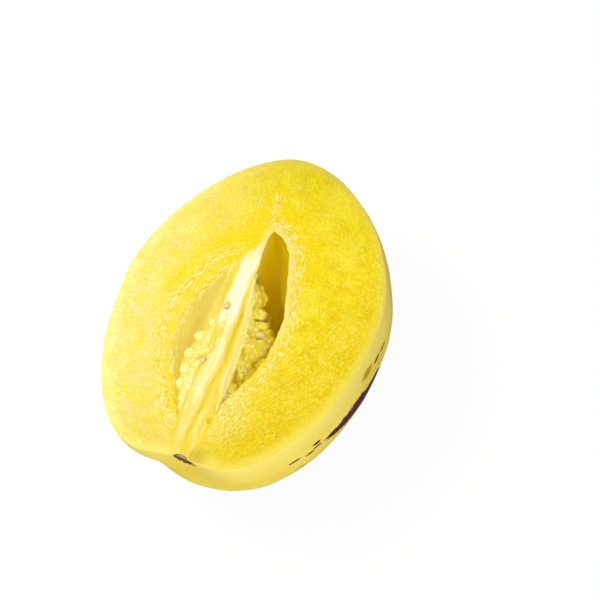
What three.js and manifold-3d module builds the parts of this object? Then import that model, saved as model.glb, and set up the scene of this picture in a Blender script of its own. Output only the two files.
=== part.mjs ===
// Half of a ripe pepino melon, cut lengthwise, lying on its rounded back with the cut face up.
// Millimetres, +Z up, long axis along Y, stem end at -Y.
import * as THREE from 'three';
import { mergeVertices } from 'three/addons/utils/BufferGeometryUtils.js';
import Module from 'manifold-3d';

const wasm = await Module();
wasm.setup();

// Fruit body: a turned egg shape, fullest at its widest section, cut a little above its long axis.
const widestRadius = 43.2;
const stemLength = 60.9;           // widest section to the stem end, before the hollows there
const tipLength = 50.2;            // widest section to the blossom end
const stemFullness = 2.17;         // superellipse powers: 2 is an ellipse, more is blunter
const tipFullness = 1.71;
const axisBend = { amount: -1.33, over: 55 };
const cutAboveAxis = 3.2;
const restTrim = 0.45;             // depth of the small flat that the half rests on
const profileSteps = 40;
const turnSteps = 60;

// Hollows in the stem end, x and height from the cut face: round the scar, and one to its side.
const stemHollows = [
  { x: -3.4, z: -5.1, depth: 6.2, radius: 13.5 },
  { x: -16, z: -15.8, depth: 2.2, radius: 6.9 },
];
const hollowFade = { from: 25, over: 15 };

// Seed chambers: pointed hollows either side of the central placenta. The inner edge is the one by
// the placenta; sharpness is how fast the width falls to the low (stem) and high (tip) ends.
const deepChamber = {
  low: -37.5, high: 23.6, depth: 15, squareness: 2.4, sharpness: [0.85, 0.5],
  innerEdge: (y) => 1 - 0.085 * y,
  width: 12.2,
};
const shallowChamber = {
  low: -43, high: 15, depth: 7, squareness: 2.4, sharpness: [1.1, 0.65],
  innerEdge: (y) => -6.3 + 0.4 * Math.max(y - 10, 0),
  width: -14.5,
};
const chamberRings = 18;
const chamberSides = 20;

// Seeds: centre (x, y from the widest section, height from the cut face) and half sizes.
const seedTurns = 12;
const seedRings = 8;
const socketGap = 0.35;            // room round a seed where it sits in the flesh
const bareSeeds = [
  { at: [-5.7, -4.1, -0.8], half: [1.1, 1.1, 0.9] },
  { at: [-6.6, -23.2, -0.9], half: [1.1, 1.1, 0.9] },
];
const shallowSeeds = [
  { at: [-8.1, -9.8, -2.1], half: [1.9, 1.8, 1.5] },
  { at: [-10.9, -15.2, -2.2], half: [2.0, 1.8, 1.5] },
  { at: [-7.0, -16.6, -2.0], half: [1.5, 1.6, 1.3] },
  { at: [-12.1, -21.4, -2.3], half: [1.7, 2.0, 1.5] },
  { at: [-11.5, -26.5, -2.2], half: [1.8, 2.2, 1.5] },
  { at: [-11.0, -31.7, -2.0], half: [1.6, 2.1, 1.4] },
];
const deepSeeds = [
  { at: [4.9, -4.6, -2.4], half: [2.1, 1.5, 1.6] },
  { at: [6.8, -8.1, -2.7], half: [2.2, 1.3, 1.6] },
  { at: [7.4, -11.2, -3.0], half: [2.1, 1.2, 1.6] },
  { at: [3.7, -11.9, -2.2], half: [1.1, 2.6, 1.4] },
  { at: [8.0, -16.2, -3.2], half: [3.9, 3.1, 2.5] },
  { at: [6.2, -23.6, -2.3], half: [1.8, 1.7, 1.4] },
  { at: [6.0, -30.6, -1.5], half: [1.4, 2.0, 1.0] },
];

const materials = {
  melon: new THREE.MeshStandardMaterial({ color: '#f3dc3c', roughness: 0.42, metalness: 0 }),
  bareSeed: new THREE.MeshStandardMaterial({ color: '#dcc27a', roughness: 0.5, metalness: 0 }),
  pulpSeed: new THREE.MeshStandardMaterial({ color: '#f1e48c', roughness: 0.25, metalness: 0 }),
};

// Closed geometry to solid and back, for the cuts.
function toSolid(geometry) {
  const bare = geometry.clone();
  bare.deleteAttribute('normal');
  bare.deleteAttribute('uv');
  const merged = mergeVertices(bare, 1e-4);
  return new wasm.Manifold(new wasm.Mesh({
    numProp: 3,
    vertProperties: new Float32Array(merged.attributes.position.array),
    triVerts: new Uint32Array(merged.index.array),
  }));
}

function toGeometry(solid) {
  const { vertProperties, triVerts } = solid.getMesh();
  const geometry = new THREE.BufferGeometry();
  geometry.setAttribute('position', new THREE.BufferAttribute(vertProperties, 3));
  geometry.setIndex(new THREE.BufferAttribute(triVerts, 1));
  geometry.computeVertexNormals();
  return geometry;
}

// Radius of the fruit at a distance along its axis from the widest section.
function radiusAt(y) {
  const length = y < 0 ? stemLength : tipLength;
  const power = y < 0 ? stemFullness : tipFullness;
  const reach = Math.min(Math.abs(y) / length, 1);
  return widestRadius * (1 - reach ** power) ** (1 / power);
}

// How far the stem end is pressed in at a point of the surface.
function hollowAt(x, y, z) {
  const fade = THREE.MathUtils.clamp((-y - hollowFade.from) / hollowFade.over, 0, 1);
  return stemHollows.reduce((sum, { x: hx, z: hz, depth, radius }) => {
    const away = ((x - hx) ** 2 + (z - hz) ** 2) / radius ** 2;
    return sum + fade * depth * Math.exp(-away);
  }, 0);
}

function wholeFruit() {
  const profile = [];
  for (let i = 0; i <= profileSteps; i += 1) {
    const turn = Math.PI * i / profileSteps;
    const y = -Math.cos(turn) * (i < profileSteps / 2 ? stemLength : tipLength);
    const radius = i === 0 || i === profileSteps ? 0 : radiusAt(y);
    profile.push(new THREE.Vector2(radius, y));
  }
  const geometry = new THREE.LatheGeometry(profile, turnSteps);
  geometry.translate(0, 0, -cutAboveAxis);
  const position = geometry.attributes.position;
  for (let i = 0; i < position.count; i += 1) {
    const y = position.getY(i);
    const x = position.getX(i) + axisBend.amount * ((y / axisBend.over) ** 2 - 1 / 3);
    const z = position.getZ(i);
    position.setXYZ(i, x, y + hollowAt(x, y, z), z);
  }
  return toSolid(geometry);
}

// A pointed pocket round the level of the cut face, made by reshaping a sphere.
function chamberSolid(chamber) {
  const geometry = new THREE.SphereGeometry(1, chamberSides, chamberRings);
  const position = geometry.attributes.position;
  const middle = (chamber.high + chamber.low) / 2;
  const half = (chamber.high - chamber.low) / 2;
  for (let i = 0; i < position.count; i += 1) {
    const along = position.getY(i);
    const turn = Math.atan2(position.getZ(i), position.getX(i));
    const onPole = Math.abs(along) > 0.9999;
    const y = middle + half * along;
    const power = THREE.MathUtils.lerp(...chamber.sharpness, (along + 1) / 2);
    const taper = onPole ? 0 : Math.sin(Math.PI * (along + 1) / 2) ** power;
    const across = Math.sign(Math.cos(turn)) * Math.abs(Math.cos(turn)) ** (2 / chamber.squareness);
    const down = Math.sign(Math.sin(turn)) * Math.abs(Math.sin(turn)) ** (2 / chamber.squareness);
    const x = chamber.innerEdge(y) + chamber.width * taper * (1 + across) / 2;
    position.setXYZ(i, x, y, chamber.depth * taper * down);
  }
  if (chamber.width < 0) {
    const order = geometry.index.array;
    for (let i = 0; i < order.length; i += 3) {
      [order[i + 1], order[i + 2]] = [order[i + 2], order[i + 1]];
    }
  }
  return toSolid(geometry);
}

// A seed's rounded shape, or the socket that clears it.
function seedGeometry({ at, half }, gap = 0) {
  const geometry = new THREE.SphereGeometry(1, seedTurns, seedRings);
  geometry.scale(...half.map((value) => value + gap));
  return geometry.translate(...at);
}

function boxSolid(size, centre) {
  const geometry = new THREE.BoxGeometry(size, size, size);
  geometry.translate(0, 0, centre);
  return toSolid(geometry);
}

// The half in its cutting frame: the widest section at y = 0 and the cut face at z = 0.
function halfFruit() {
  const cutterSize = 4 * stemLength;
  const depth = widestRadius + cutAboveAxis - restTrim;
  const allSeeds = [...bareSeeds, ...shallowSeeds, ...deepSeeds];
  const cuts = [
    boxSolid(cutterSize, cutterSize / 2),
    boxSolid(cutterSize, -depth - cutterSize / 2),
    chamberSolid(deepChamber),
    chamberSolid(shallowChamber),
    ...allSeeds.map((seed) => toSolid(seedGeometry(seed, socketGap))),
  ];
  return cuts.reduce((fruit, cut) => fruit.subtract(cut), wholeFruit());
}

const half = toGeometry(halfFruit());
half.computeBoundingBox();
const { min, max } = half.boundingBox;
const shift = [-(min.x + max.x) / 2, -(min.y + max.y) / 2, -min.z];

const group = new THREE.Group();

const melon = new THREE.Mesh(half, materials.melon);
melon.name = 'melon_half';
melon.position.set(...shift);
group.add(melon);

function addSeeds(list, prefix, material) {
  list.forEach((seed, index) => {
    const mesh = new THREE.Mesh(seedGeometry(seed), material);
    mesh.name = `${prefix}_${index + 1}`;
    mesh.position.set(...shift);
    group.add(mesh);
  });
}

addSeeds(bareSeeds, 'bare_seed', materials.bareSeed);
addSeeds(shallowSeeds, 'shallow_chamber_seed', materials.pulpSeed);
addSeeds(deepSeeds, 'deep_chamber_seed', materials.pulpSeed);

export default group;
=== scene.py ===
import math

import bmesh
import bpy
import numpy as np
from mathutils import Euler, Matrix, Vector, noise
from mathutils.geometry import delaunay_2d_cdt


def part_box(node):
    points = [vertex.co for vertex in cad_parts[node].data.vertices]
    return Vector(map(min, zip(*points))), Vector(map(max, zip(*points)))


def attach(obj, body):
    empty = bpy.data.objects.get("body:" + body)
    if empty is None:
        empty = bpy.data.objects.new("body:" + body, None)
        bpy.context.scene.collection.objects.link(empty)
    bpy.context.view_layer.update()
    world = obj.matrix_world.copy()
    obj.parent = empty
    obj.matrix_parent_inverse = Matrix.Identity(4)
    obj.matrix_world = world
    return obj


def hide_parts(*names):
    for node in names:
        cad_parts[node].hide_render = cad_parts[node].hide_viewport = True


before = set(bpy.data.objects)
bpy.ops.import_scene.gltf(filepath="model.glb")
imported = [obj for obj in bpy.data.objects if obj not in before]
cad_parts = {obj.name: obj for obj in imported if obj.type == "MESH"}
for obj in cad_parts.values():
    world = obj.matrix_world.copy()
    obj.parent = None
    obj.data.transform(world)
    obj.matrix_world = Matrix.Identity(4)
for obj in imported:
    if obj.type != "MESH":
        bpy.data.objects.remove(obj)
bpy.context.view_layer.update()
print("frame loaded")

mm = 0.001
farAway = 99.0  # mm, stands for a distance that has no effect


# Shared helpers

def linearColour(hexText):  # sRGB hex to the linear colour that nodes hold
    parts = [int(hexText[i:i + 2], 16) / 255 for i in (1, 3, 5)]
    return [c / 12.92 if c <= 0.04045 else ((c + 0.055) / 1.055) ** 2.4 for c in parts] + [1.0]


def addNode(tree, kind, inputs=(), stops=(), **settings):  # inputs by name or in order: node, socket or value
    node = tree.nodes.new("ShaderNode" + kind)
    for key, value in settings.items():
        setattr(node, key, value)
    if stops:
        elements = node.color_ramp.elements
        while len(elements) < len(stops):
            elements.new(0.5)
        for element, (place, shade) in zip(elements, stops):
            element.position, element.color = place, linearColour(shade)
    for key, value in (inputs if isinstance(inputs, dict) else dict(enumerate(inputs))).items():
        if isinstance(value, bpy.types.Node):  # a node stands for its first output in use
            value = next(output for output in value.outputs if output.enabled)
        if isinstance(value, bpy.types.NodeSocket):
            tree.links.new(value, node.inputs[key])
        else:
            node.inputs[key].default_value = linearColour(value) if isinstance(value, str) else value
    return node


# settings that many nodes share
operations = "MULTIPLY", "ADD", "MAXIMUM", "MULTIPLY_ADD"
times, plus, greatest, timesPlus = ({"operation": word} for word in operations)
soft = {"interpolation_type": "SMOOTHSTEP"}
inColour = {"data_type": "RGBA"}


def readSurface(tree, look):  # what a material reads off its mesh, with its patterns and masks, all by name
    fields = {}
    for names, output in ((look["numbers"], "Fac"), (look["places"], "Vector")):
        for name in names:
            fields[name] = addNode(tree, "Attribute", attribute_name=name).outputs[output]
    for name, (source, size, detail, roughness) in look["patterns"].items():
        scaled = addNode(tree, "Mapping", {"Vector": fields[source], "Scale": [1 / s for s in size]})
        fields[name] = addNode(tree, "TexNoise", {"Vector": scaled, "Scale": 1.0, "Detail": detail,
                                                  "Roughness": roughness})
    for name, (operation, towards) in look.get("measures", {}).items():
        fields[name] = addNode(tree, "VectorMath", (fields["place"], towards), operation=operation)
    for shared, masks in ((soft, look.get("softMasks", {})), ({}, look.get("masks", {}))):
        for name, (source, *span) in masks.items():
            fields[name] = addNode(tree, "MapRange", (fields[source], *span), **shared)
    return fields


def newMaterial(name):
    material = bpy.data.materials.new(name)
    material.use_nodes = True
    material.node_tree.nodes.clear()
    return material, material.node_tree


def smoothStep(low, high, value):
    t = np.clip((np.asarray(value, float) - low) / (high - low), 0, 1)
    return t * t * (3 - 2 * t)


def through(points, at):  # smooth curve x(y) through a few (y, x) points, level beyond its ends
    knots = np.array(sorted(tuple(p) for p in points), float)
    y, x = knots[:, 0], knots[:, 1]
    step = np.diff(x) / np.diff(y)
    slope = np.gradient(x, y)
    slope[1:-1] *= step[:-1] * step[1:] > 0  # level at a turning point, so that it never overshoots
    at = np.clip(np.asarray(at, float), y[0], y[-1])
    i = np.clip(np.searchsorted(y, at) - 1, 0, len(y) - 2)
    w = y[i + 1] - y[i]
    t = (at - y[i]) / w
    start = (1 + 2 * t) * (1 - t) ** 2 * x[i] + t * (1 - t) ** 2 * w * slope[i]
    return start + t * t * (3 - 2 * t) * x[i + 1] + t * t * (t - 1) * w * slope[i + 1]


def rough(points, size, octaves=3, seed=0):  # seeded noise about -1..1, size in mm
    shift = Vector((17.3 * seed + 3.1, 7.7 * seed - 5.2, 29.9 * seed + 1.7))
    return np.array([noise.fractal(Vector(p) / size + shift, 1.0, 2.0, octaves) for p in points])


def nearestOn(points, line, block=2000):  # distance in the cut plane to a row of points, and which one
    distance, index = np.empty(len(points)), np.empty(len(points), int)
    for start in range(0, len(points), block):
        part = slice(start, start + block)
        square = ((points[part, None, :2] - line[None, :, :2]) ** 2).sum(2)
        index[part] = square.argmin(1)
        distance[part] = np.sqrt(square.min(1))
    return distance, index


def distanceTo(points, line):
    return nearestOn(points, line)[0]


def inside(points, loop):  # which points of the cut plane lie within a closed loop
    result = np.zeros(len(points), bool)
    px, py = points[:, 0], points[:, 1]
    for (ax, ay), (bx, by) in zip(loop, np.roll(loop, -1, axis=0)):
        if ay != by:
            crosses = ((ay > py) != (by > py)) & (px < (bx - ax) * (py - ay) / (by - ay) + ax)
            result ^= crosses
    return result


def setAttributes(mesh, **arrays):  # a number or a vector at each point
    for name, values in arrays.items():
        values = np.asarray(values, np.float32)
        kind, field = ("FLOAT", "value") if values.ndim == 1 else ("FLOAT_VECTOR", "vector")
        mesh.attributes.new(name, kind, "POINT").data.foreach_set(field, values.ravel())


def getVectors(items, field):  # x, y and z of every point or normal
    values = np.empty(len(items) * 3, np.float32)
    items.foreach_get(field, values)
    return values.reshape(-1, 3).astype(float)


def setShape(mesh, points):  # moves every point to its place in mm, with smooth shading
    mesh.vertices.foreach_set("co", (points * mm).astype(np.float32).ravel())
    mesh.polygons.foreach_set("use_smooth", np.ones(len(mesh.polygons), bool))


def toMesh(shape, name):
    mesh = bpy.data.meshes.new(name)
    shape.to_mesh(mesh)
    shape.free()
    return mesh


def addObject(name, data):
    made = bpy.data.objects.new(name, data)
    bpy.context.scene.collection.objects.link(made)
    return made


# Melon body, in millimetres from the widest section at the level of the cut face

melon = {
    "widestRadius": 43.2,
    "stemLength": 60.9,
    "tipLength": 50.2,
    "stemFullness": 2.17,
    "tipFullness": 1.71,
    "bendAmount": -1.33,
    "bendOver": 55.0,
    "cutAboveAxis": 3.2,
    "stemHollows": [(-3.4, -5.1, 6.2, 13.5), (-16.0, -15.8, 2.2, 6.9)],  # x, z, depth, radius
    "hollowFrom": 25.0,       # the hollows come in this far towards the stem
    "hollowOver": 15.0,
    "rowStep": 0.74,          # skin mesh spacing along the fruit
    "endStep": 0.36,          # finer round the stem scar and the tip
    "endReach": 9.0,
    "columnCount": 128,
    "edgeSteps": (0, 0.16, 0.34, 0.58, 0.9),   # skin columns next to the cut
    "edgeShrink": 14.0,       # those columns close up where the fruit is slimmer than this radius
    "waves": (0.22, 15.0),    # height and size of the skin's unevenness
    "ripples": (0.05, 3.5),
    "scarAt": (-1.6, -3.0),   # x and height of the stem scar
    "scarRadius": 3.6,
    "scarEdge": (0.8, 1.12),  # its sides fall between these, in scar radii
    "scarDepth": 0.8,
    "scarBefore": -30.0,      # y that the scar stays below
    "collarAt": (1.35, 0.3),  # distance and width in scar radii
    "collarHeight": 0.3,
    "tipDimple": (0.45, 1.5),   # depth, radius
    "fibreSpan": (-58, 48),   # the flesh's fibres run with the fruit's sides between these
    "fibreRadius": 12.0,      # and never closer together than at this radius
}


def radiusAt(y):
    y = np.asarray(y, float)
    length = np.where(y < 0, melon["stemLength"], melon["tipLength"])
    power = np.where(y < 0, melon["stemFullness"], melon["tipFullness"])
    reach = np.minimum(np.abs(y) / length, 1)
    return melon["widestRadius"] * (1 - reach ** power) ** (1 / power)


def bendAt(y):
    return melon["bendAmount"] * ((np.asarray(y) / melon["bendOver"]) ** 2 - 1 / 3)


def hollowAt(x, y, z):
    fade = np.clip((-y - melon["hollowFrom"]) / melon["hollowOver"], 0, 1)
    return sum(fade * depth * np.exp(-((x - hx) ** 2 + (z - hz) ** 2) / radius ** 2)
               for hx, hz, depth, radius in melon["stemHollows"])


bodyLow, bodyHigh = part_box("melon_half")
toPart = np.array([bodyHigh.x / mm - melon["widestRadius"] - bendAt(0),
                   bodyHigh.y / mm - melon["tipLength"],
                   bodyHigh.z / mm])


def skinRows():  # places along the axis, evenly spaced along the outline, with the rim's two ends
    turn = np.linspace(0, math.pi, 4001)
    length = np.where(turn < math.pi / 2, melon["stemLength"], melon["tipLength"])
    y = -np.cos(turn) * length
    radius = radiusAt(y)
    along = np.concatenate([[0], np.cumsum(np.hypot(np.diff(y), np.diff(radius)))])
    share = melon["cutAboveAxis"] / melon["widestRadius"]
    stemEnd = -melon["stemLength"] * (1 - share ** melon["stemFullness"]) ** (1 / melon["stemFullness"])
    tipEnd = melon["tipLength"] * (1 - share ** melon["tipFullness"]) ** (1 / melon["tipFullness"])
    marks = [0, np.interp(stemEnd, y, along), melon["endReach"], along[-1] - melon["endReach"],
             np.interp(tipEnd, y, along), along[-1]]
    steps = [melon["endStep"], melon["endStep"], melon["rowStep"], melon["endStep"], melon["endStep"]]
    places, rimRows = [], []
    for low, high, step in zip(marks[:-1], marks[1:], steps):
        places += list(np.linspace(low, high, max(2, round((high - low) / step)), endpoint=False))
        if low == marks[0] or high == marks[4]:
            rimRows.append(len(places))
    places.append(marks[-1])
    rowY = np.interp(places, along, y)
    rowY[rimRows[0]], rowY[rimRows[1]] = stemEnd, tipEnd
    return np.array(places), rowY, rimRows


def scarDistance(points):
    away = np.hypot(points[:, 0] - melon["scarAt"][0], points[:, 2] - melon["scarAt"][1])
    return np.where(points[:, 1] < melon["scarBefore"], away, farAway)


def skinPatch():
    along, rowY, (stemRow, tipRow) = skinRows()
    cut = melon["cutAboveAxis"]
    count = melon["columnCount"]
    points, skinPlace = [], []
    edge = np.array(melon["edgeSteps"])
    width = melon["widestRadius"]
    for s, y in zip(along, rowY):
        radius = float(radiusAt(y))
        lift = math.asin(min(1.0, cut / radius)) if radius > 0 else math.pi / 2
        sweep = math.pi + 2 * lift
        near = edge * min(1, radius / melon["edgeShrink"]) / (max(radius, 0.01) * sweep)
        share = np.concatenate([near, np.linspace(near[-1], 1 - near[-1], count)[1:-1], 1 - near[::-1]])
        angle = math.pi - lift + sweep * share
        x, z = radius * np.cos(angle), radius * np.sin(angle)
        points.append(np.stack([x + bendAt(y), np.full_like(x, y), z - cut], 1))
        skinPlace.append(np.stack([width * np.cos(angle), width * np.sin(angle), np.full_like(x, s)], 1))
    rows, columns = len(points), len(points[0])
    points = np.concatenate(points)
    skinPlace = np.concatenate(skinPlace)
    grid = np.arange(rows * columns).reshape(rows, columns)

    reach = np.where(points[:, 1] < 0, melon["stemLength"], melon["tipLength"])
    normal = points / np.stack([np.full(len(points), melon["widestRadius"] ** 2), reach ** 2,
                                np.full(len(points), melon["widestRadius"] ** 2)], 1)
    normal /= np.linalg.norm(normal, axis=1)[:, None] + 1e-9
    (wave, waveSize), (ripple, rippleSize) = melon["waves"], melon["ripples"]   # mostly inwards
    uneven = wave * (rough(points, waveSize, 2, 1) - 0.6) + ripple * rough(points, rippleSize, 2, 2)
    points += normal * uneven[:, None]
    points[:, 1] += hollowAt(points[:, 0], points[:, 1], points[:, 2])
    away = scarDistance(points) / melon["scarRadius"]
    points[:, 1] += melon["scarDepth"] * (1 - smoothStep(*melon["scarEdge"], away))
    middle, width = melon["collarAt"]
    points[:, 1] -= melon["collarHeight"] * np.exp(-((away - middle) / width) ** 2)
    depth, radius = melon["tipDimple"]
    tipAway = np.hypot(points[:, 0] - bendAt(melon["tipLength"]), points[:, 2] + cut)
    points[:, 1] -= np.where(points[:, 1] > 0, depth * np.exp(-(tipAway / radius) ** 2), 0)

    points[:, 2] = np.minimum(points[:, 2], 0)
    points[grid[stemRow:tipRow + 1, 0], 2] = 0
    points[grid[stemRow:tipRow + 1, -1], 2] = 0
    closed = list(range(stemRow + 1)) + list(range(tipRow, rows))
    points[grid[closed, -1]] = points[grid[closed, 0]]
    for row in (0, rows - 1):
        points[grid[row]] = points[grid[row]].mean(0)
    bottom = -toPart[2]
    points[:, 2] = np.maximum(points[:, 2], bottom)
    quads = np.stack([grid[:-1, :-1], grid[1:, :-1], grid[1:, 1:], grid[:-1, 1:]], 2).reshape(-1, 4)
    rim = np.concatenate([points[grid[stemRow:tipRow + 1, 0]], points[grid[stemRow + 1:tipRow, -1]][::-1]])
    return points, skinPlace, quads, rim


# Seed chambers: the deep one right of the placenta, the shallow one left of it. Outlines are x at y.

chambers = {
    "deepLow": -37.5,
    "deepHigh": 23.6,
    "deepRight": [(23.6, 0.0), (21.8, 3.1), (17.9, 6.5), (11.7, 9.2), (5.5, 10.9), (0, 12.3), (-5.6, 13.6),
                  (-13.1, 13.5), (-20.7, 12.5), (-27, 9.7), (-32.6, 6.8), (-37.5, 4.0)],
    "deepLeft": [(23.6, 0.0), (20.1, -0.95), (15.9, -0.8), (11.2, -0.4), (8, -0.5), (2, 0.7), (-5, 1.4),
                 (-20, 2.7), (-30, 3.5), (-37.5, 4.0)],
    "deepDepth": 14.6,
    "deepSquareness": 2.5,
    "deepSharpness": (1.2, 0.5),   # how fast the depth falls to the stem end and the tip end
    "panSharpness": (1.0, 1.5),
    "panLow": -43.0,
    "panHigh": 14.2,
    "panOuter": [(14.2, -5.9), (12.9, -8.0), (10, -12.6), (5.4, -15.0), (1.2, -17.2), (-5.5, -19.9),
                 (-9.2, -20.6), (-14, -20.9), (-18.5, -20.1), (-23.2, -18.6), (-28.1, -16.4), (-32.9, -13.8),
                 (-38.2, -11.0), (-43, -7.5)],
    "panInner": [(14.2, -5.5), (12, -6.0), (9.1, -6.3), (4.7, -6.4), (-0.4, -6.5), (-6.6, -6.4), (-20, -6.2),
                 (-27, -6.9), (-34, -7.4), (-43, -7.5)],
    "panDepth": 5.2,
    "seam": [(23.6, 0.0), (30, -1.6), (36, -3.4)],   # fibrous line that runs on towards the tip
    "panPowers": (0.78, 1.6),   # shape of the dish, across and down
    "lipWave": 0.3,             # mm that the edges wander
    "leftWaves": [(0.7, 3.4), (0.3, 1.1)],   # share and size of each wave
    "rightWaves": [(1.0, 3.9), (0.55, 1.2)],
    "steadyEnds": 0.12,         # the edges run steadily where a chamber comes to its points
    "sideFade": (-4.5, -2.5),   # x from the shallow side to the deep side
    "hollowDepth": (0.05, 1.2),   # mm below the cut face over which a wall turns into a hollow
    "dishDepth": 1.4,           # more than that in the dish
    "alongStep": 0.42,
    "endCrowding": 0.25,        # rows are closer at both ends
    "sectionStep": 0.42,
}


def chamberTaper(y, low, high, sharpness):
    s = np.clip((y - low) / (high - low), 0, 1)
    return np.sin(math.pi * s) ** (sharpness[0] + (sharpness[1] - sharpness[0]) * s)


def resample(line, count):  # evenly spaced points along a dense line of (across, down)
    run = np.concatenate([[0], np.cumsum(np.hypot(*np.diff(line, axis=0).T))])
    at = np.linspace(0, run[-1], count)
    return np.stack([np.interp(at, run, line[:, 0]), np.interp(at, run, line[:, 1])], 1)


def deepSection():  # a rounded trough, steep by both edges: across 0..1, down 0..1
    turn = np.linspace(math.pi, 0, 721)
    power = 2 / chambers["deepSquareness"]
    across = 0.5 + 0.5 * np.sign(np.cos(turn)) * np.abs(np.cos(turn)) ** power
    return np.stack([across, np.abs(np.sin(turn)) ** power], 1)


def panSection():  # a soft dish: across 0 at its outer edge, 1 at the placenta
    turn = np.linspace(0, math.pi, 721)
    acrossPower, downPower = chambers["panPowers"]
    return np.stack([(turn / math.pi) ** acrossPower, np.sin(turn) ** downPower], 1)


def lipWaves(y, waves, seed):  # how far a chamber's edge wanders
    side = np.stack([np.zeros_like(y), y, np.zeros_like(y)], 1)
    return sum(share * rough(side, size, 2, seed + i) for i, (share, size) in enumerate(waves))


def chamberPatch(section, low, high, sharpness, leftPoints, rightPoints, depth, seed):
    count = round((high - low) / chambers["alongStep"])
    turn = np.linspace(0, math.pi, count + 1)
    even = np.linspace(0, 1, count + 1)
    crowding = chambers["endCrowding"]
    y = low + (high - low) * (crowding * (1 - np.cos(turn)) / 2 + (1 - crowding) * even)
    wave = smoothStep(0, chambers["steadyEnds"], np.sin(math.pi * even)) * chambers["lipWave"]
    left = through(leftPoints, y) + wave * lipWaves(y, chambers["leftWaves"], seed)
    right = through(rightPoints, y) + wave * lipWaves(y, chambers["rightWaves"], seed + 2)
    taper = chamberTaper(y, low, high, sharpness)
    widest = np.abs(right - left).max()
    scaled = section * [widest, depth]
    run = np.hypot(*np.diff(scaled, axis=0).T).sum()
    line = resample(scaled, round(run / chambers["sectionStep"])) / [widest, depth]
    x = left[:, None] + (right - left)[:, None] * line[None, :, 0]
    z = -depth * taper[:, None] * line[None, :, 1]
    points = np.stack([x, np.repeat(y[:, None], len(line), 1), z], 2)
    points[:, [0, -1], 2] = 0
    points[[0, -1]] = points[[0, -1]].mean(1, keepdims=True)
    points[[0, -1], :, 2] = 0
    rows, columns = points.shape[:2]
    grid = np.arange(rows * columns).reshape(rows, columns)
    quads = np.stack([grid[:-1, :-1], grid[:-1, 1:], grid[1:, 1:], grid[1:, :-1]], 2).reshape(-1, 4)
    loop = np.concatenate([points[:, 0], points[1:-1, -1][::-1]])
    return points.reshape(-1, 3), quads, loop


# Placenta: the pale bar between the chambers, and the ridge, groove and strands that run to the stem

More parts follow.
